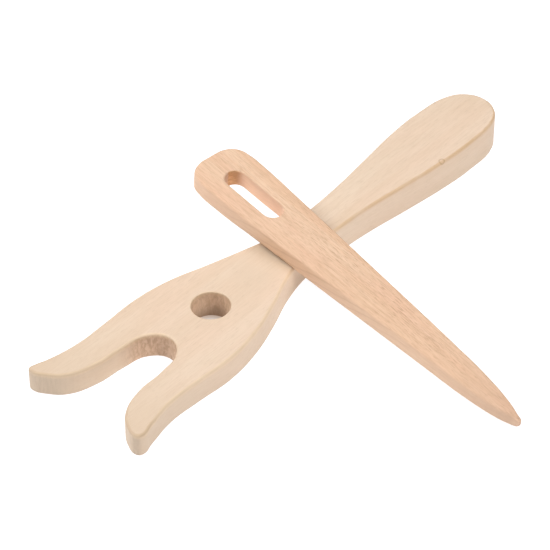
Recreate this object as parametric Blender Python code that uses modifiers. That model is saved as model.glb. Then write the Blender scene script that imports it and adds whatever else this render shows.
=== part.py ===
"""A wooden lucet (a two-pronged fork for making cord) with its flat needle laid across the neck.

Metres, +Z up. The lucet lies on the plane Z = 0 with its length along Y: the prongs point to -Y and
the handle to +Y. The origin is on its flat underside, at the middle of the neck, straight below the
place where the needle crosses it. The needle leans on the neck with its point down on the Z = 0 plane.
"""

import math

import bmesh
import bpy
from mathutils import Vector

MM = 0.001

# Lucet. Its outline is drawn from the place marked for the cord hole, which was drilled just off it.
HOLE_TO_NECK = 45.5 * MM
HOLE_DIAMETER = 14.6 * MM
HOLE_OFFSET = (0.1 * MM, -0.2 * MM)
HOLE_RIM_ROUNDING = 0.25 * MM
LUCET_EDGE_ROUNDING = 1.0 * MM

# The board is planed thin at the prongs and left thick at the handle, in one long slope.
FORK_THICKNESS = 9.85 * MM
HANDLE_THICKNESS = 15.3 * MM
SLOPE_START = -70 * MM
SLOPE_END = 155 * MM
SLOPE_STEP = 9 * MM

# The two halves of the lucet's outline (mm outwards from its middle line, mm along Y from the hole).
# Each runs from the bottom of the fork's slot, round the prong and along the handle to its end. They
# differ by less than a millimetre, as a piece sawn and sanded by hand does.
SLOT_ROOT = (0, -22.6)
RIGHT_SLOT = [(7.2, -26.5), (9.8, -36.8), (10.4, -49.5), (14.4, -60.4), (20.7, -65.7)]
RIGHT_PRONG_TIP = [(25.1, -66.7), (26.9, -64.9)]
RIGHT_SHOULDER = [(25.7, -59.0), (23.2, -46.5), (23.5, -31.5), (24.3, -16.4), (21.9, 0), (17.1, 15)]
RIGHT_NECK = [(11.2, 30), (7.8, 45), (7.5, 60), (8.3, 78)]
RIGHT_HANDLE = [(11.2, 102), (13.1, 120), (13.7, 136.6), (11.6, 153), (6.4, 159.2)]
LEFT_SLOT = [(6.7, -26.9), (9.0, -36.9), (10.2, -49.5), (14.4, -60.4), (20.8, -65.5)]
LEFT_PRONG_TIP = [(24.9, -67.1), (27.5, -66.3)]
LEFT_SHOULDER = [(27.1, -63.3), (25.6, -59), (23.3, -46.5), (23.3, -31.5), (23.7, -16.4), (21.4, 0), (16.6, 15)]
LEFT_NECK = [(12.0, 30), (8.2, 45), (8.0, 60), (8.8, 78)]
LEFT_HANDLE = [(11.5, 102), (13.6, 120), (14.0, 136.6), (11.5, 153), (6.4, 159.2)]
HANDLE_END = (0, 161.1)
LUCET_RIGHT = RIGHT_SLOT + RIGHT_PRONG_TIP + RIGHT_SHOULDER + RIGHT_NECK + RIGHT_HANDLE
LUCET_LEFT = LEFT_SLOT + LEFT_PRONG_TIP + LEFT_SHOULDER + LEFT_NECK + LEFT_HANDLE

# Needle. Its outline is drawn from where it crosses the neck, with its point to +X.
NEEDLE_END = (-47.7, 0)
NEEDLE_EYE_END = [(-47.3, 6.3), (-44.4, 10.7), (-38.8, 12.3)]
NEEDLE_BLADE = [(-30.7, 12.5), (-6.7, 11.3), (23.3, 9.6), (53.3, 7.8), (78.3, 6.3)]
NEEDLE_POINT = [(96.3, 5.1), (110.3, 3.0), (116.2, 1.3)]
NEEDLE_TIP = (119.4, 0)
NEEDLE_HALF = NEEDLE_EYE_END + NEEDLE_BLADE + NEEDLE_POINT
NEEDLE_EDGE_ROUNDING = 0.8 * MM
EYE_START = -36.3 * MM
EYE_END = -7.2 * MM
EYE_WIDTH = 8.5 * MM
EYE_OFFSET = -0.55 * MM
EYE_RIM_ROUNDING = 0.35 * MM

# The needle thins slowly along the blade, and faster where it is shaved down to its point.
NEEDLE_EYE_THICKNESS = 7.7 * MM
NEEDLE_BLADE_THICKNESS = 6.9 * MM
NEEDLE_TIP_THICKNESS = 5.4 * MM
SHAVING_START = 60 * MM
SHAVING_STEP = 10 * MM
SHAVING_POWER = 1.5

# Where the needle lies: its shift along Y, the height of its underside above the origin, and how it
# is turned.
NEEDLE_SHIFT = -0.15 * MM
NEEDLE_REST_HEIGHT = 14.09 * MM
NEEDLE_YAW = math.radians(-6.8)
NEEDLE_PITCH = math.radians(6.5)
NEEDLE_ROLL = math.radians(1.6)

MAPLE_COLOUR = (0.83, 0.66, 0.5)
MAPLE_ROUGHNESS = 0.55
BEECH_COLOUR = (0.86, 0.58, 0.4)
BEECH_ROUGHNESS = 0.5

CURVE_STEPS = 5
HOLE_STEPS = 48
EYE_ROUND_STEPS = 12
ROUNDING_STEPS = 3
RIM_STEPS = 2
SHARP_ANGLE = math.radians(50)
CREASE_ANGLE = math.radians(30)
LEVEL_ANGLE = math.radians(0.1)
MERGE = 0.00001
CUTTER_HEIGHT = 60 * MM


def clear_scene():
    for old in list(bpy.data.objects):
        bpy.data.objects.remove(old, do_unlink=True)


def new_collection(name):
    collection = bpy.data.collections.new(name)
    bpy.context.scene.collection.children.link(collection)
    return collection


def wood(name, colour, roughness):
    material = bpy.data.materials.new(name)
    material.use_nodes = True
    shader = material.node_tree.nodes["Principled BSDF"]
    shader.inputs["Base Color"].default_value = (*colour, 1)
    shader.inputs["Roughness"].default_value = roughness
    shader.inputs["Metallic"].default_value = 0
    return material


def closed_loop(first, half, last, other_half, across):
    """An outline in metres: the first point, one half, the last point and back along the other half,
    which is given as the mirror image of its real place, across X (0) or across Y (1).
    """
    points = [Vector((x * MM, y * MM, 0)) for x, y in [first, *half, last]]
    flipped = [Vector((x * MM, y * MM, 0)) for x, y in reversed(other_half)]
    for point in flipped:
        point[across] = -point[across]
    return points + flipped


def stadium(start, end, width):
    """A slot outline with round ends, along X."""
    radius = width / 2
    points = []
    for centre, first in ((end - radius, -90), (start + radius, 90)):
        for step in range(EYE_ROUND_STEPS + 1):
            angle = math.radians(first + 180 * step / EYE_ROUND_STEPS)
            points.append(Vector((centre + radius * math.cos(angle), radius * math.sin(angle), 0)))
    return points


def extruded(name, points, height, smooth, collection):
    """A closed outline made into a solid mesh from Z = 0 to the height given."""
    curve = bpy.data.curves.new(name, "CURVE")
    curve.dimensions = "2D"
    curve.fill_mode = "BOTH"
    curve.extrude = height / 2
    curve.resolution_u = CURVE_STEPS
    spline = curve.splines.new("BEZIER" if smooth else "POLY")
    spline.use_cyclic_u = True
    corners = spline.bezier_points if smooth else spline.points
    corners.add(len(points) - 1)
    for corner, point in zip(corners, points):
        if smooth:
            corner.co = point
            corner.handle_left_type = corner.handle_right_type = "AUTO"
        else:
            corner.co = (*point, 1)
    guide = bpy.data.objects.new(name + "_curve", curve)
    collection.objects.link(guide)
    bpy.context.view_layer.update()
    evaluated = guide.evaluated_get(bpy.context.evaluated_depsgraph_get())
    mesh = bpy.data.meshes.new_from_object(evaluated)
    bpy.data.objects.remove(guide, do_unlink=True)

    shape = bmesh.new()
    shape.from_mesh(mesh)
    bmesh.ops.remove_doubles(shape, verts=shape.verts, dist=MERGE)
    bmesh.ops.translate(shape, verts=shape.verts, vec=(0, 0, height / 2))
    bmesh.ops.dissolve_limit(
        shape, angle_limit=LEVEL_ANGLE, verts=shape.verts, edges=shape.edges
    )
    bmesh.ops.recalc_face_normals(shape, faces=shape.faces)
    shape.to_mesh(mesh)
    shape.free()
    mesh.name = name
    solid = bpy.data.objects.new(name, mesh)
    collection.objects.link(solid)
    return solid


def finished(solid):
    """Replaces the object's mesh by what its modifiers make of it."""
    bpy.context.view_layer.update()
    evaluated = solid.evaluated_get(bpy.context.evaluated_depsgraph_get())
    mesh = bpy.data.meshes.new_from_object(evaluated)
    solid.modifiers.clear()
    solid.data = mesh
    mesh.name = solid.name


def plane_top(solid, thickness, axis, stations):
    """Lowers the upper half of a level board to thickness(distance along the axis), leaving its
    rounded edges as they are. The faces are first split at the stations, so that they can follow.
    """
    shape = bmesh.new()
    shape.from_mesh(solid.data)
    normal = Vector((0, 0, 0))
    normal[axis] = 1
    for station in stations:
        geometry = shape.verts[:] + shape.edges[:] + shape.faces[:]
        bmesh.ops.bisect_plane(shape, geom=geometry, dist=MERGE, plane_co=normal * station, plane_no=normal)
    board_height = max(vertex.co.z for vertex in shape.verts)
    for vertex in shape.verts:
        if vertex.co.z > board_height / 2:
            vertex.co.z -= board_height - thickness(vertex.co[axis])
    shape.to_mesh(solid.data)
    shape.free()


def round_edges(solid, name, width, steps):
    bevel = solid.modifiers.new(name, "BEVEL")
    bevel.limit_method = "ANGLE"
    bevel.angle_limit = SHARP_ANGLE
    bevel.width = width
    bevel.segments = steps


def cut(solid, name, cutter):
    cutter.hide_render = True
    cutter.display_type = "WIRE"
    boolean = solid.modifiers.new(name, "BOOLEAN")
    boolean.operation = "DIFFERENCE"
    boolean.solver = "EXACT"
    boolean.object = cutter


def shade(solid, material):
    solid.data.materials.append(material)
    solid.data.shade_smooth()
    solid.data.set_sharp_from_angle(angle=CREASE_ANGLE)


def lucet_thickness(y):
    share = min(max((y - SLOPE_START) / (SLOPE_END - SLOPE_START), 0), 1)
    return FORK_THICKNESS + (HANDLE_THICKNESS - FORK_THICKNESS) * share


def needle_thickness(x):
    eye_end = NEEDLE_END[0] * MM
    tip = NEEDLE_TIP[0] * MM
    share = (x - eye_end) / (SHAVING_START - eye_end)
    thickness = NEEDLE_EYE_THICKNESS + (NEEDLE_BLADE_THICKNESS - NEEDLE_EYE_THICKNESS) * min(share, 1)
    shaved = max((x - SHAVING_START) / (tip - SHAVING_START), 0)
    return thickness - (NEEDLE_BLADE_THICKNESS - NEEDLE_TIP_THICKNESS) * shaved ** SHAVING_POWER


def make_lucet(parts, cutters):
    outline = closed_loop(SLOT_ROOT, LUCET_RIGHT, HANDLE_END, LUCET_LEFT, 0)
    lucet = extruded("lucet_fork", outline, HANDLE_THICKNESS, True, parts)
    lucet.location = (0, -HOLE_TO_NECK, 0)
    round_edges(lucet, "sanded_edges", LUCET_EDGE_ROUNDING, ROUNDING_STEPS)

    bpy.ops.mesh.primitive_cylinder_add(
        vertices=HOLE_STEPS,
        radius=HOLE_DIAMETER / 2,
        depth=CUTTER_HEIGHT,
        location=(HOLE_OFFSET[0], HOLE_OFFSET[1] - HOLE_TO_NECK, 0),
    )
    drill = bpy.context.object
    drill.name = "cord_hole_cutter"
    for collection in list(drill.users_collection):
        collection.objects.unlink(drill)
    cutters.objects.link(drill)
    cut(lucet, "cord_hole", drill)
    round_edges(lucet, "eased_rim", HOLE_RIM_ROUNDING, RIM_STEPS)
    finished(lucet)
    steps = int((SLOPE_END - SLOPE_START) / SLOPE_STEP)
    stations = [SLOPE_START + SLOPE_STEP * (step + 0.5) for step in range(steps)]
    plane_top(lucet, lucet_thickness, 1, stations)
    shade(lucet, wood("pale_maple", MAPLE_COLOUR, MAPLE_ROUGHNESS))
    return lucet


def make_needle(parts, cutters):
    seat = bpy.data.objects.new("needle_seat", None)
    seat.location = (0, NEEDLE_SHIFT, NEEDLE_REST_HEIGHT)
    seat.rotation_euler = (NEEDLE_ROLL, NEEDLE_PITCH, NEEDLE_YAW)
    parts.objects.link(seat)

    outline = closed_loop(NEEDLE_END, NEEDLE_HALF, NEEDLE_TIP, NEEDLE_HALF, 1)
    needle = extruded("flat_needle", outline, NEEDLE_EYE_THICKNESS, True, parts)
    needle.parent = seat
    round_edges(needle, "sanded_edges", NEEDLE_EDGE_ROUNDING, ROUNDING_STEPS)

    eye = extruded("eye_cutter", stadium(EYE_START, EYE_END, EYE_WIDTH), CUTTER_HEIGHT, False, cutters)
    eye.location = (0, EYE_OFFSET, -CUTTER_HEIGHT / 2)
    eye.parent = seat
    cut(needle, "eye", eye)
    round_edges(needle, "eased_rim", EYE_RIM_ROUNDING, RIM_STEPS)
    finished(needle)
    steps = int((NEEDLE_TIP[0] * MM - SHAVING_START) / SHAVING_STEP)
    stations = [SHAVING_START + SHAVING_STEP * step for step in range(steps + 1)]
    plane_top(needle, needle_thickness, 0, stations)
    shade(needle, wood("pink_beech", BEECH_COLOUR, BEECH_ROUGHNESS))
    return needle


def main():
    clear_scene()
    parts = new_collection("lucet_with_needle")
    cutters = new_collection("cutters")
    make_lucet(parts, cutters)
    make_needle(parts, cutters)


main()
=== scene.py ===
import math

import bpy
import numpy as np
from mathutils import Matrix, Vector


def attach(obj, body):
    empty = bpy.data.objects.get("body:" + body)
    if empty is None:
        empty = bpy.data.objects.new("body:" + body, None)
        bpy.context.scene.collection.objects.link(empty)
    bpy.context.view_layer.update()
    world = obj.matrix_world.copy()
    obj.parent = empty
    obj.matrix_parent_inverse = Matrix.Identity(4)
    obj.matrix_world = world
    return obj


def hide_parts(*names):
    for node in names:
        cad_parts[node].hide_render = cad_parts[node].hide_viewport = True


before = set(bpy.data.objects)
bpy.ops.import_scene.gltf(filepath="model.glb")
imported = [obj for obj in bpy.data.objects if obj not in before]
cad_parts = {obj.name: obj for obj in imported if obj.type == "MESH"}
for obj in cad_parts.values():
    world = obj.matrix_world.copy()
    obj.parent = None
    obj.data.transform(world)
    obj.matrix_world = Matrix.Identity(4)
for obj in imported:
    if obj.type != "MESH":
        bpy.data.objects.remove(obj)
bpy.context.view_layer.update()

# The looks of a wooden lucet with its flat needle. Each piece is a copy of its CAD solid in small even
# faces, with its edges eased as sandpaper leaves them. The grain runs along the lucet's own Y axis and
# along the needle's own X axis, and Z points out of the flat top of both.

# The camera looks from in front, right and above, with a long lens, at a point under the neck.
CAMERA_AZIMUTH = math.radians(41.23)
CAMERA_ELEVATION = math.radians(40.5)
CAMERA_DISTANCE = 0.99587
CAMERA_AIM = Vector((-0.00246, -0.0074, 0))
CAMERA_LENS = 173.53
SENSOR_WIDTH = 36

FLOOR_SIZE = 6
FACE_SIZE = 0.00036
MOST_TRIANGLES = 180000

# Lamps: where each one hangs, and its power in watts. All aim at the origin.
SOFTBOX_SIZE = 0.9
SOFTBOXES = {
    "left_softbox": ((-0.867, -0.727, 1.131), 21),
    "right_softbox": ((1.131, 0, 1.131), 16),
    "back_softbox": ((-0.338, 0.586, 1.45), 8),
}
WORLD_STRENGTH = 0.02

# Moves that smooth small steps away and leave the form as large as it was, and moves that round it.
SETTLE = (0.5, -0.53) * 4
ROUND_OFF = (0.5,) * 14

# The needle's point ends in a round nose.
NOSE_LENGTH = 0.0035
NOSE_BLUNTNESS = 0.75

# Places along the needle's own X: where it lies on the neck, and where its growth rings show best.
CROSSING = -0.036
CLEAREST_RINGS = -0.015

# How much rounding the needle's edges get: places along its X, and the share at each. The last goes by
# the distance from the crossing.
TOP_EDGE_ROUNDING = ((-0.079, -0.076, 0.03, 0.078), (1.0, 0.0, 0.0, 0.6))
POINT_ROUNDING = ((0.076, 0.082), (0.0, 1.0))
CROSSING_ROUNDING = ((0.012, 0.02), (1.0, 0.0))

# The height over which the rounding of the top edge gives way to that of the bottom edge.
EDGE_BLEND = 0.0015

# Places on the lucet, in its own axes.
HOLE = Vector((0.0001, -0.0457, 0))
SLOT_ROOT = Vector((0, -0.0681, 0))
KNOT = Vector((0.0125, 0.0735, 0.0143))
UNDER_NEEDLE = Vector((0.0085, -0.004, 0.003))
BESIDE_NEEDLE = Vector((-0.002, -0.015, 0.0115))

# The needle's slant across the neck: how far its middle line moves along -Y for each unit along X.
NEEDLE_SLANT = 0.119

# The lucet's top rises evenly from the prongs to the handle: its height at Y = 0, and its rise along Y.
TOP_AT_ORIGIN = 0.01265
TOP_RISE = 0.0242

# The walls of the needle's eye lie nearer its middle line than the first, and its sides beyond the second.
EYE_WALL = 0.0048
OUTER_SIDE = 0.0056

# Heights of the relief that the grain gives each wood.
MAPLE_RELIEF = 0.00004
BEECH_RELIEF = 0.00007

# Colours, as linear red, green, blue and alpha. Those marked shade, light or highlight aren't colours of
# the
# wood: they are painted where the soft light leaves the shade beside or inside something too weak or too
# strong, and stay in any pose.
MAPLE = {
    "pale_band": (0.735, 0.585, 0.45, 1),
    "deep_band": (0.705, 0.54, 0.4, 1),
    "warm_patch": (0.765, 0.57, 0.435, 1),
    "fibre": (0.64, 0.475, 0.335, 1),
    "fine_fibre": (0.61, 0.45, 0.32, 1),
    "pore": (0.45, 0.31, 0.2, 1),
    "wall": (0.69, 0.53, 0.38, 1),
    "dark_end": (0.53, 0.415, 0.305, 1),
    "pale_end": (0.71, 0.57, 0.435, 1),
    "prong_tip": (0.62, 0.48, 0.35, 1),
    "foot_shade": (0.4, 0.29, 0.21, 1),
    "neck_wall_shade": (0.36, 0.24, 0.16, 1),
    "beside_needle_shade": (0.6, 0.48, 0.36, 1),
    "under_needle_light": (0.87, 0.69, 0.5, 1),
    "dark_root": (0.44, 0.27, 0.165, 1),
    "pale_root": (0.63, 0.435, 0.3, 1),
    "dark_hole": (0.58, 0.395, 0.25, 1),
    "pale_hole": (0.76, 0.545, 0.385, 1),
    "hole_foot_shade": (0.15, 0.08, 0.04, 1),
    "tan_line": (0.63, 0.38, 0.16, 1),
    "fork_edge_highlight": (0.88, 0.68, 0.45, 1),
    "brown_edge": (0.4, 0.26, 0.15, 1),
    "knot_ring": (0.42, 0.25, 0.12, 1),
}
BEECH = {
    "pale_band": (0.775, 0.545, 0.38, 1),
    "deep_band": (0.74, 0.49, 0.325, 1),
    "warm_patch": (0.755, 0.475, 0.325, 1),
    "fibre": (0.6, 0.39, 0.25, 1),
    "fine_fibre": (0.55, 0.34, 0.215, 1),
    "pore": (0.4, 0.215, 0.12, 1),
    "side": (0.8, 0.55, 0.375, 1),
    "growth_ring": (0.46, 0.26, 0.15, 1),
    "lower_edge_shade": (0.24, 0.12, 0.05, 1),
    "point": (0.58, 0.375, 0.26, 1),
    "eye_wall_light": (0.96, 0.65, 0.46, 1),
    "dark_end": (0.52, 0.31, 0.19, 1),
    "pale_end": (0.68, 0.44, 0.3, 1),
    "dark_eye_end": (0.51, 0.235, 0.08, 1),
    "pale_eye_end": (0.71, 0.4, 0.18, 1),
}
FLOOR = (0.28, 0.28, 0.28, 1)
FLOOR_GLOW = (0.93, 0.92, 0.94, 1)
FLOOR_IN_SHADE = (0.42, 0.33, 0.27, 1)
WHITE = (1, 1, 1, 1)


# Meshes

def copied_solid(node, name, own_axes):
    """A new object with the node's form, whose own axes are those of the matrix given."""
    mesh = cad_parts[node].data.copy()
    mesh.name = name
    mesh.materials.clear()
    mesh.transform(own_axes.inverted())
    piece = bpy.data.objects.new(name, mesh)
    piece.matrix_world = own_axes
    bpy.context.scene.collection.objects.link(piece)
    return piece


def apply_modifiers(piece):
    bpy.context.view_layer.update()
    evaluated = piece.evaluated_get(bpy.context.evaluated_depsgraph_get())
    mesh = bpy.data.meshes.new_from_object(evaluated)
    piece.modifiers.clear()
    piece.data = mesh
    mesh.name = piece.name


def remesh(piece, face_size):
    """Swaps the piece's mesh for one of small even faces."""
    modifier = piece.modifiers.new("even_faces", "REMESH")
    modifier.mode = "VOXEL"
    modifier.voxel_size = face_size
    apply_modifiers(piece)


def vertex_places(mesh):
    places = np.empty(len(mesh.vertices) * 3, np.float32)
    mesh.vertices.foreach_get("co", places)
    return places.reshape(-1, 3).astype(float)


def ease_edges(piece, shares, strength=None):
    """Moves each vertex towards its neighbours' middle by each of the shares in turn.

    A negative share moves it away again. strength scales the moves vertex by vertex, from their
    places in the piece's own axes.
    """
    mesh = piece.data
    places = vertex_places(mesh)
    scale = strength(places)[:, None] if strength else 1
    ends = np.empty(len(mesh.edges) * 2, np.int32)
    mesh.edges.foreach_get("vertices", ends)
    ends = ends.reshape(-1, 2)
    count = np.bincount(ends.ravel(), minlength=len(places))[:, None]
    for share in shares:
        middle = np.empty_like(places)
        for axis in range(3):
            middle[:, axis] = np.bincount(
                ends[:, 0], places[ends[:, 1], axis], len(places)
            ) + np.bincount(ends[:, 1], places[ends[:, 0], axis], len(places))
        places += share * scale * (middle / count - places)
    mesh.vertices.foreach_set("co", places.astype(np.float32).ravel())
    mesh.shade_smooth()
    mesh.update()


def thin_out(piece, most_triangles):
    """Merges faces, the flattest first, until the piece has no more triangles than that."""
    triangles = sum(len(face.vertices) - 2 for face in piece.data.polygons)
    if triangles <= most_triangles:
        return
    modifier = piece.modifiers.new("thin_out", "DECIMATE")
    modifier.ratio = most_triangles / triangles
    apply_modifiers(piece)
    piece.data.shade_smooth()


def grain_axes(node):
    """A flat node's own axes: Z out of its level underside, X along its length, from its middle."""
    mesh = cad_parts[node].data
    underside = Vector((0, 0, 0))
    for face in mesh.polygons:
        if face.normal.z < -0.9:
            underside += face.normal * face.area
    up = -underside.normalized()
    places = vertex_places(mesh)
    middle = (places.max(axis=0) + places.min(axis=0)) / 2
    level = places - middle
    level -= np.outer(level @ np.array(up), np.array(up))
    along = Vector(np.linalg.svd(level - level.mean(axis=0), full_matrices=False)[2][0])
    if along.x < 0:
        along.negate()
    along = (along - up * along.dot(up)).normalized()
    across = up.cross(along)
    axes = Matrix((along, across, up)).transposed().to_4x4()
    axes.translation = Vector(middle)
    return axes


# Shader nodes

class Shader:
    """Builds one material's node tree. Most methods return an output to plug in."""

    def __init__(self, name):
        self.material = bpy.data.materials.new(name)
        self.material.use_nodes = True
        self.tree = self.material.node_tree
        self.surface = self.tree.nodes["Principled BSDF"]

    def node(self, kind, inputs=(), **settings):
        made = self.tree.nodes.new(kind)
        for name, value in settings.items():
            setattr(made, name, value)
        for name, value in dict(inputs).items():
            self.plug(made.inputs[name], value)
        return made

    def plug(self, socket, value):
        if isinstance(value, bpy.types.NodeSocket):
            self.tree.links.new(value, socket)
        else:
            socket.default_value = value

    def noise(self, coordinates, size, offset=(0, 0, 0), detail=2.0, roughness=0.5, distortion=0.0):
        """Noise whose grains are about the size given, in metres, along each axis."""
        mapping = self.node("ShaderNodeMapping", {"Vector": coordinates, "Location": offset})
        mapping.inputs["Scale"].default_value = [1 / length for length in size]
        settings = {"Vector": mapping.outputs["Vector"], "Scale": 1.0, "Detail": detail}
        settings.update({"Roughness": roughness, "Distortion": distortion})
        return self.node("ShaderNodeTexNoise", settings).outputs["Fac"]

    def between(self, value, low, high, to_low=0.0, to_high=1.0):
        """Smoothly rescales a value from low..high to to_low..to_high."""
        settings = {"Value": value, "From Min": low, "From Max": high}
        settings.update({"To Min": to_low, "To Max": to_high})
        smooth = self.node("ShaderNodeMapRange", settings, interpolation_type="SMOOTHSTEP")
        return smooth.outputs["Result"]

    def math(self, operation, *values):
        made = self.node("ShaderNodeMath", operation=operation)
        for socket, value in zip(made.inputs, values):
            self.plug(socket, value)
        return made.outputs["Value"]

    def times(self, first, *others):
        product = first
        for other in others:
            product = self.math("MULTIPLY", product, other)
        return product

    def mix(self, share, first, second):
        made = self.node("ShaderNodeMixRGB")
        self.plug(made.inputs["Fac"], share)
        self.plug(made.inputs["Color1"], first)
        self.plug(made.inputs["Color2"], second)
        return made.outputs["Color"]

    def parts(self, vector):
        split = self.node("ShaderNodeSeparateXYZ", {"Vector": vector})
        return split.outputs["X"], split.outputs["Y"], split.outputs["Z"]

    def nearness(self, coordinates, place, full, none):
        """1 within the distance full of the place, 0 beyond the distance none."""
        away = self.node("ShaderNodeVectorMath", operation="DISTANCE")
        self.plug(away.inputs[0], coordinates)
        away.inputs[1].default_value = place
        return self.between(away.outputs["Value"], full, none, 1.0, 0.0)


class Wood(Shader):
    """A shader that knows where on its piece a point lies, and which way the surface faces there."""

    def __init__(self, name):
        super().__init__(name)
        places = self.node("ShaderNodeTexCoord")
        self.at = places.outputs["Object"]
        self.x, self.y, self.z = self.parts(self.at)
        self.normal_x, self.normal_y, self.normal_z = self.parts(places.outputs["Normal"])
        self.wall = self.between(self.math("ABSOLUTE", self.normal_z), 0.3, 0.85, 1.0, 0.0)

    def finish(self, colour, roughness, height, relief):
        bump = self.node("ShaderNodeBump", {"Height": height, "Distance": relief})
        self.plug(self.surface.inputs["Base Color"], colour)
        self.plug(self.surface.inputs["Roughness"], roughness)
        self.plug(self.surface.inputs["Normal"], bump.outputs["Normal"])
        self.surface.inputs["Specular IOR Level"].default_value = 0.35
        return self.material


# Maple

def maple_grain(wood):
    """Broad soft bands of colour, then the fibres, then the short pores."""
    bands = wood.noise(wood.at, (0.006, 0.12, 0.005), distortion=0.4)
    patches = wood.noise(wood.at, (0.02, 0.05, 0.02), (3, 1, 2))
    fibres = wood.noise(wood.at, (0.0008, 0.016, 0.0008), detail=3, roughness=0.65)
    fine = wood.noise(wood.at, (0.0004, 0.006, 0.0004), (4, 4, 1), roughness=0.6)
    pores = wood.noise(wood.at, (0.00035, 0.003, 0.00035), (5, 2, 7), detail=1)
    pore = wood.between(pores, 0.6, 0.74)

    colour = wood.mix(wood.between(bands, 0.35, 0.65), MAPLE["pale_band"], MAPLE["deep_band"])
    colour = wood.mix(wood.between(patches, 0.4, 0.7, 0, 0.5), colour, MAPLE["warm_patch"])
    colour = wood.mix(wood.between(fibres, 0.42, 0.7, 0, 0.36), colour, MAPLE["fibre"])
    colour = wood.mix(wood.between(fine, 0.45, 0.75, 0, 0.34), colour, MAPLE["fine_fibre"])
    colour = wood.mix(wood.times(pore, 0.2), colour, MAPLE["pore"])
    return colour, fibres, fine, pore


def maple_walls(wood, colour, ends):
    """The sawn and sanded outline: a little darker than the planed top, with end grain and shade."""
    # The walls' darker colour is partly the sanded wood's own tone and partly painted shade.
    colour = wood.mix(wood.times(wood.wall, 0.3), colour, MAPLE["wall"])

    # Where the outline cuts across the fibres, it looks greyer.
    end_grain = wood.between(wood.math("ABSOLUTE", wood.normal_y), 0.45, 1.0)
    end_colour = wood.mix(wood.between(ends, 0.3, 0.7), MAPLE["dark_end"], MAPLE["pale_end"])
    colour = wood.mix(wood.times(end_grain, 0.75), colour, end_colour)

    # The prong tips are darker. The foot of the walls and the neck's wall have painted shade.
    colour = wood.mix(wood.between(wood.y, -0.112, -0.07, 0.5, 0), colour, MAPLE["prong_tip"])
    foot = wood.times(wood.wall, wood.between(wood.z, 0.0, 0.0018, 0.3, 0))
    colour = wood.mix(foot, colour, MAPLE["foot_shade"])
    shade = wood.times(wood.nearness(wood.at, UNDER_NEEDLE, 0.001, 0.013), wood.wall, 0.75)
    return wood.mix(shade, colour, MAPLE["neck_wall_shade"])


def maple_neck(wood, colour):
    """The neck, painted paler under the needle, where the soft light is too weak, and darker beside it."""
    beside = wood.times(wood.nearness(wood.at, BESIDE_NEEDLE, 0.006, 0.02), 0.35)
    colour = wood.mix(beside, colour, MAPLE["beside_needle_shade"])
    from_needle = wood.math("ADD", wood.y, wood.times(wood.x, NEEDLE_SLANT))
    # Painted light: the neck is paler where the needle lies on it.
    paler_under_needle = wood.between(wood.math("ABSOLUTE", from_needle), 0.0108, 0.0155, 0.52, 0)
    return wood.mix(paler_under_needle, colour, MAPLE["under_needle_light"])


def maple_cuts(wood, colour):
    """The drilled hole and the root of the slot: browner than the rest, and shaded in the hole's foot."""
    level = wood.node("ShaderNodeCombineXYZ", {"X": wood.x, "Y": wood.y}).outputs["Vector"]
    hole = wood.nearness(level, HOLE, 0.0079, 0.0083)
    root = wood.nearness(level, SLOT_ROOT, 0.01, 0.021)
    torn = wood.noise(wood.at, (0.0012, 0.0012, 0.0024), (2, 7, 3), 3, 0.7, 0.5)
    torn = wood.between(torn, 0.35, 0.65)
    brown = wood.mix(torn, MAPLE["dark_root"], MAPLE["pale_root"])
    drilled = wood.mix(torn, MAPLE["dark_hole"], MAPLE["pale_hole"])
    brown = wood.mix(hole, brown, drilled)
    low = wood.times(hole, wood.between(wood.z, 0, 0.009, 0.7, 0))
    brown = wood.mix(low, brown, MAPLE["hole_foot_shade"])
    return wood.mix(wood.times(wood.math("MAXIMUM", hole, root), wood.wall, 0.8), colour, brown)


def maple_top_edge(wood, colour):
    """The edge of the top: tan along the handle, a painted highlight along the fork and brown at the prong
    tips.
    """
    top = wood.math("MULTIPLY_ADD", wood.y, TOP_RISE, TOP_AT_ORIGIN)
    below_top = wood.math("SUBTRACT", top, wood.z)
    edge = wood.between(wood.normal_z, 0.96, 0.9992, 1, 0)
    edge = wood.times(edge, wood.between(below_top, 0.0006, 0.0022, 1, 0))
    uneven = wood.noise(wood.at, (0.05, 0.014, 0.05), detail=3)
    uneven = wood.between(uneven, 0.25, 0.6, 0.4, 1)
    right = wood.between(wood.normal_x, -0.1, 0.3, 0.3, 1)

    handle = wood.between(wood.y, -0.02, 0.04, 0.1, 1)
    tan_edge = wood.times(edge, uneven, handle, right)
    colour = wood.mix(wood.times(tan_edge, 0.5), colour, MAPLE["tan_line"])
    # Painted highlight along the right top edge of the fork.
    fork = wood.times(edge, right, wood.between(wood.y, 0, 0.03, 0.35, 0))
    colour = wood.mix(fork, colour, MAPLE["fork_edge_highlight"])
    tips = wood.times(wood.between(wood.y, -0.108, -0.092, 0.36, 0), uneven)
    crease = wood.times(edge, wood.between(below_top, 0.0004, 0.0012, 1, 0))
    return wood.mix(wood.times(tips, crease), colour, MAPLE["brown_edge"])


def maple_knot(wood, colour):
    """A pin knot on the tan line: a pale heart in a brown ring."""
    knot = wood.nearness(wood.at, KNOT, 0.0011, 0.0017)
    heart = wood.nearness(wood.at, KNOT, 0.0005, 0.0012)
    ring = wood.math("SUBTRACT", knot, heart)
    return wood.mix(wood.times(ring, 0.55), colour, MAPLE["knot_ring"])


def maple():
    """Pale close-grained wood, with its grain along Y."""
    wood = Wood("pale_maple_wood")
    colour, fibres, fine, pore = maple_grain(wood)
    ends = wood.noise(wood.at, (0.0007, 0.0007, 0.006), (1, 4, 2), 3, 0.7, 0.4)
    colour = maple_walls(wood, colour, ends)
    colour = maple_neck(wood, colour)
    colour = maple_cuts(wood, colour)
    colour = maple_top_edge(wood, colour)
    colour = maple_knot(wood, colour)

    roughness = wood.between(fibres, 0.3, 0.7, 0.5, 0.62)
    height = wood.math("ADD", wood.times(fibres, 0.6), wood.times(fine, 0.4))
    height = wood.math("SUBTRACT", height, wood.times(pore, 0.5))
    return wood.finish(colour, roughness, height, MAPLE_RELIEF)


# Beech

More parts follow.
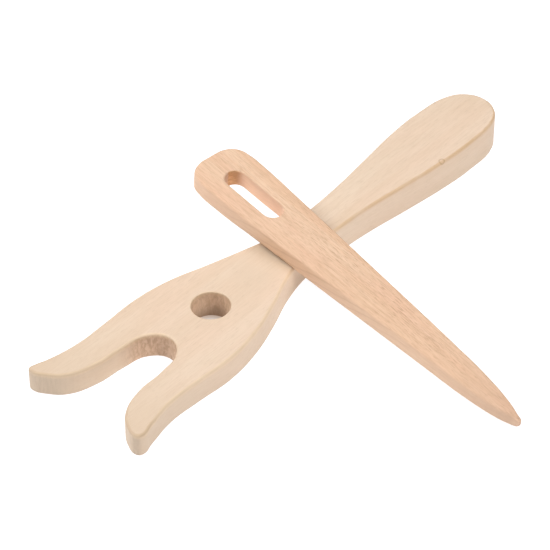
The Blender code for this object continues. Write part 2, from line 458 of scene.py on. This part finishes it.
def beech_grain(wood):
    """Long bands and fibres, and short dark pores, faintest along the edges and round the eye."""
    bands = wood.noise(wood.at, (0.11, 0.004, 0.006), distortion=0.5)
    patches = wood.noise(wood.at, (0.03, 0.012, 0.012), (2, 5, 1))
    fibres = wood.noise(wood.at, (0.016, 0.0009, 0.0009), detail=3, roughness=0.65)
    fine = wood.noise(wood.at, (0.0045, 0.0004, 0.0004), (4, 4, 1), roughness=0.6)
    pores = wood.noise(wood.at, (0.0034, 0.00026, 0.00026), (5, 2, 7), detail=1)
    middle = wood.between(wood.math("ABSOLUTE", wood.y), 0.003, 0.011, 1.0, 0.5)
    past_eye = wood.between(wood.x, -0.06, -0.03, 0.5, 1)
    pore = wood.times(wood.between(pores, 0.54, 0.7), middle, past_eye)

    colour = wood.mix(wood.between(bands, 0.35, 0.65), BEECH["pale_band"], BEECH["deep_band"])
    colour = wood.mix(wood.between(patches, 0.4, 0.7, 0, 0.6), colour, BEECH["warm_patch"])
    colour = wood.mix(wood.between(fibres, 0.42, 0.7, 0, 0.45), colour, BEECH["fibre"])
    colour = wood.mix(wood.between(fine, 0.45, 0.75, 0, 0.48), colour, BEECH["fine_fibre"])
    colour = wood.mix(wood.times(pore, 0.52), colour, BEECH["pore"])
    return colour, fibres, fine, pore


def beech_sides(wood, colour, outside):
    """The sides, where the growth rings show as dark lines that climb from the underside to the top."""
    drift = wood.noise(wood.at, (0.03, 0.05, 0.012), (1, 1, 6), 2, 0.5, 0.3)
    climb = wood.math("SUBTRACT", wood.times(wood.z, 330.0), wood.times(wood.x, 60.0))
    rings = wood.math("ADD", climb, wood.times(drift, 1.8))
    line = wood.between(wood.math("PINGPONG", rings, 0.5), 0.0, 0.22, 1.0, 0.0)
    from_clearest = wood.math("ABSOLUTE", wood.math("SUBTRACT", wood.x, CLEAREST_RINGS))
    ringed = wood.between(from_clearest, 0.02, 0.055, 0.24, 0.06)
    colour = wood.mix(wood.times(wood.wall, outside, 0.5), colour, BEECH["side"])
    colour = wood.mix(wood.times(wood.wall, line, ringed), colour, BEECH["growth_ring"])

    # Painted shade on the lower edge, most of all where the needle lies on the lucet.
    from_crossing = wood.math("ABSOLUTE", wood.math("SUBTRACT", wood.x, CROSSING))
    crossing = wood.between(from_crossing, 0.007, 0.016, 0.82, 0.12)
    lower = wood.between(wood.normal_z, -0.6, 0, 1, 0)
    return wood.mix(wood.times(lower, crossing), colour, BEECH["lower_edge_shade"])


def beech_ends(wood, colour, outside):
    """The darker point, the walls of the eye painted brighter as painted light, and the end grain."""
    point = wood.between(wood.x, 0.04, 0.085)
    colour = wood.mix(wood.times(point, 0.42), colour, BEECH["point"])
    # Painted light: the walls inside the eye are brighter, where the soft light shades them too much.
    eye_wall_light = wood.times(wood.wall, wood.math("SUBTRACT", 1.0, outside))
    colour = wood.mix(wood.times(eye_wall_light, 0.55), colour, BEECH["eye_wall_light"])

    # End grain is browner, most of all at the end of the eye.
    across = wood.math("ABSOLUTE", wood.normal_x)
    ends = wood.noise(wood.at, (0.02, 0.002, 0.0006), (1, 4, 2), 3, 0.7)
    ends = wood.between(ends, 0.3, 0.7)
    end_colour = wood.mix(ends, BEECH["dark_end"], BEECH["pale_end"])
    colour = wood.mix(wood.between(across, 0.5, 1, 0, 0.8), colour, end_colour)
    in_eye = wood.math("SUBTRACT", wood.between(wood.x, -0.06, -0.05, 1, 0), outside)
    eye_end = wood.times(in_eye, wood.between(across, 0.15, 0.8, 0, 0.8))
    eye_end_colour = wood.mix(ends, BEECH["dark_eye_end"], BEECH["pale_eye_end"])
    return wood.mix(eye_end, colour, eye_end_colour)


def beech():
    """Pinkish wood with short dark pores, with its grain along X."""
    wood = Wood("pink_beech_wood")
    colour, fibres, fine, pore = beech_grain(wood)
    outside = wood.between(wood.math("ABSOLUTE", wood.y), EYE_WALL, OUTER_SIDE)
    colour = beech_sides(wood, colour, outside)
    colour = beech_ends(wood, colour, outside)

    roughness = wood.between(fibres, 0.3, 0.7, 0.48, 0.6)
    height = wood.math("ADD", wood.times(fibres, 0.6), wood.times(fine, 0.4))
    height = wood.math("SUBTRACT", height, wood.times(pore, 0.6))
    return wood.finish(colour, roughness, height, BEECH_RELIEF)


# Pieces

def make_lucet():
    lucet = copied_solid("lucet_fork", "lucet", Matrix.Identity(4))
    remesh(lucet, FACE_SIZE)
    ease_edges(lucet, SETTLE)
    thin_out(lucet, MOST_TRIANGLES)
    lucet.data.materials.append(maple())
    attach(lucet, "lucet")
    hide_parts("lucet_fork")


def blunt_point(piece):
    """Thins the last of the needle's point to a round nose."""
    places = vertex_places(piece.data)
    along, height = places[:, 0], places[:, 2]
    middle = (height.max() + height.min()) / 2
    share = np.clip((along - along.max() + NOSE_LENGTH) / NOSE_LENGTH, 0, 1)
    places[:, 2] = middle + (height - middle) * np.sqrt(1 - NOSE_BLUNTNESS * share ** 2)
    piece.data.vertices.foreach_set("co", places.astype(np.float32).ravel())


def rounding_of_needle(places):
    """The needle's top edge is rounder at both ends, and its bottom edge where it lies on the neck."""
    along, height = places[:, 0], places[:, 2]
    middle = (height.max() + height.min()) / 2
    upper = np.clip((height - middle) / EDGE_BLEND + 0.5, 0, 1)
    top_edge = np.interp(along, *TOP_EDGE_ROUNDING) * upper
    bottom_edge = np.interp(np.abs(along - CROSSING), *CROSSING_ROUNDING) * (1 - upper)
    return np.maximum(top_edge, np.maximum(np.interp(along, *POINT_ROUNDING), bottom_edge))


def make_needle():
    needle = copied_solid("flat_needle", "needle", grain_axes("flat_needle"))
    remesh(needle, FACE_SIZE)
    ease_edges(needle, SETTLE)
    blunt_point(needle)
    ease_edges(needle, ROUND_OFF, rounding_of_needle)
    thin_out(needle, MOST_TRIANGLES)
    needle.data.materials.append(beech())
    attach(needle, "needle")
    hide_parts("flat_needle")


# Studio

def make_floor():
    """A white floor that glows a little, as a light table does, dimmed as shade inside the cord hole."""
    bpy.ops.mesh.primitive_plane_add(size=FLOOR_SIZE)
    floor = bpy.context.object
    floor.name = "floor"
    shader = Shader("white_floor")
    places = shader.node("ShaderNodeTexCoord").outputs["Object"]
    around_hole = shader.nearness(places, HOLE, 0.008, 0.011)
    in_hole = shader.nearness(places, HOLE, 0.003, 0.0072)
    shade = shader.math("SUBTRACT", around_hole, in_hole)
    glow = shader.mix(shade, FLOOR_GLOW, FLOOR_IN_SHADE)
    shader.plug(shader.surface.inputs["Emission Color"], glow)
    shader.surface.inputs["Emission Strength"].default_value = 1
    shader.surface.inputs["Base Color"].default_value = FLOOR
    shader.surface.inputs["Roughness"].default_value = 0.9
    shader.surface.inputs["Specular IOR Level"].default_value = 0
    floor.data.materials.append(shader.material)


def make_softbox(name, place, power):
    light = bpy.data.lights.new(name, "AREA")
    light.shape = "SQUARE"
    light.size = SOFTBOX_SIZE
    light.energy = power
    lamp = bpy.data.objects.new(name, light)
    lamp.location = place
    lamp.rotation_euler = (-Vector(place)).to_track_quat("-Z", "Y").to_euler()
    bpy.context.scene.collection.objects.link(lamp)


def make_world():
    world = bpy.data.worlds.new("studio")
    world.use_nodes = True
    background = world.node_tree.nodes["Background"]
    background.inputs["Color"].default_value = WHITE
    background.inputs["Strength"].default_value = WORLD_STRENGTH
    bpy.context.scene.world = world


def make_camera():
    data = bpy.data.cameras.new("camera")
    data.lens = CAMERA_LENS
    data.sensor_width = SENSOR_WIDTH
    camera = bpy.data.objects.new("camera", data)
    flat = math.cos(CAMERA_ELEVATION)
    back = Vector(
        (
            math.sin(CAMERA_AZIMUTH) * flat,
            -math.cos(CAMERA_AZIMUTH) * flat,
            math.sin(CAMERA_ELEVATION),
        )
    )
    camera.location = CAMERA_AIM + back * CAMERA_DISTANCE
    camera.rotation_euler = back.to_track_quat("Z", "Y").to_euler()
    bpy.context.scene.collection.objects.link(camera)
    bpy.context.scene.camera = camera


def main():
    make_camera()
    make_lucet()
    make_needle()
    make_floor()
    make_world()
    for name, (place, power) in SOFTBOXES.items():
        make_softbox(name, place, power)
    bpy.context.scene.view_settings.view_transform = "Standard"


main()
